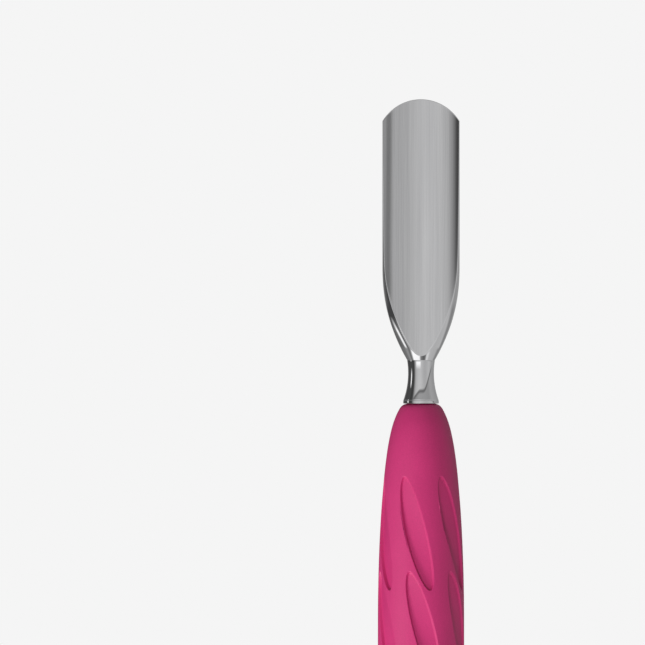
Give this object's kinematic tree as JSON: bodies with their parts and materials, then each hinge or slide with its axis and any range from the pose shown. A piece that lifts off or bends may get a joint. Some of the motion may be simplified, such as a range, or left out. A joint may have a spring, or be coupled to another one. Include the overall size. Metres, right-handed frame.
{
  "type": "cuticle pusher",
  "caption": "Double-ended hand tool with wide and narrow rounded steel scoops on a soft tapered sleeve handle with rows of leaf-shaped grip pockets.",
  "frame": {"origin": "centre of the handle, on its axis and halfway along the plain middle band of the sleeve", "axes": "+Z along the handle towards the wide scoop; both scoops open towards -Y; +X across the scoops"},
  "size_m": [0.0092, 0.0092, 0.1411],
  "materials": {
    "polished_steel": "mirror polished outside, fine lengthwise brushing in the scoop",
    "core_steel": "drawn tube",
    "silicone": "soft matte"
  },
  "bodies": {
    "root": {"wide_head": "polished_steel", "narrow_head": "polished_steel", "core_tube": "core_steel", "grip_sleeve": "silicone"}
  },
  "joints": []
}
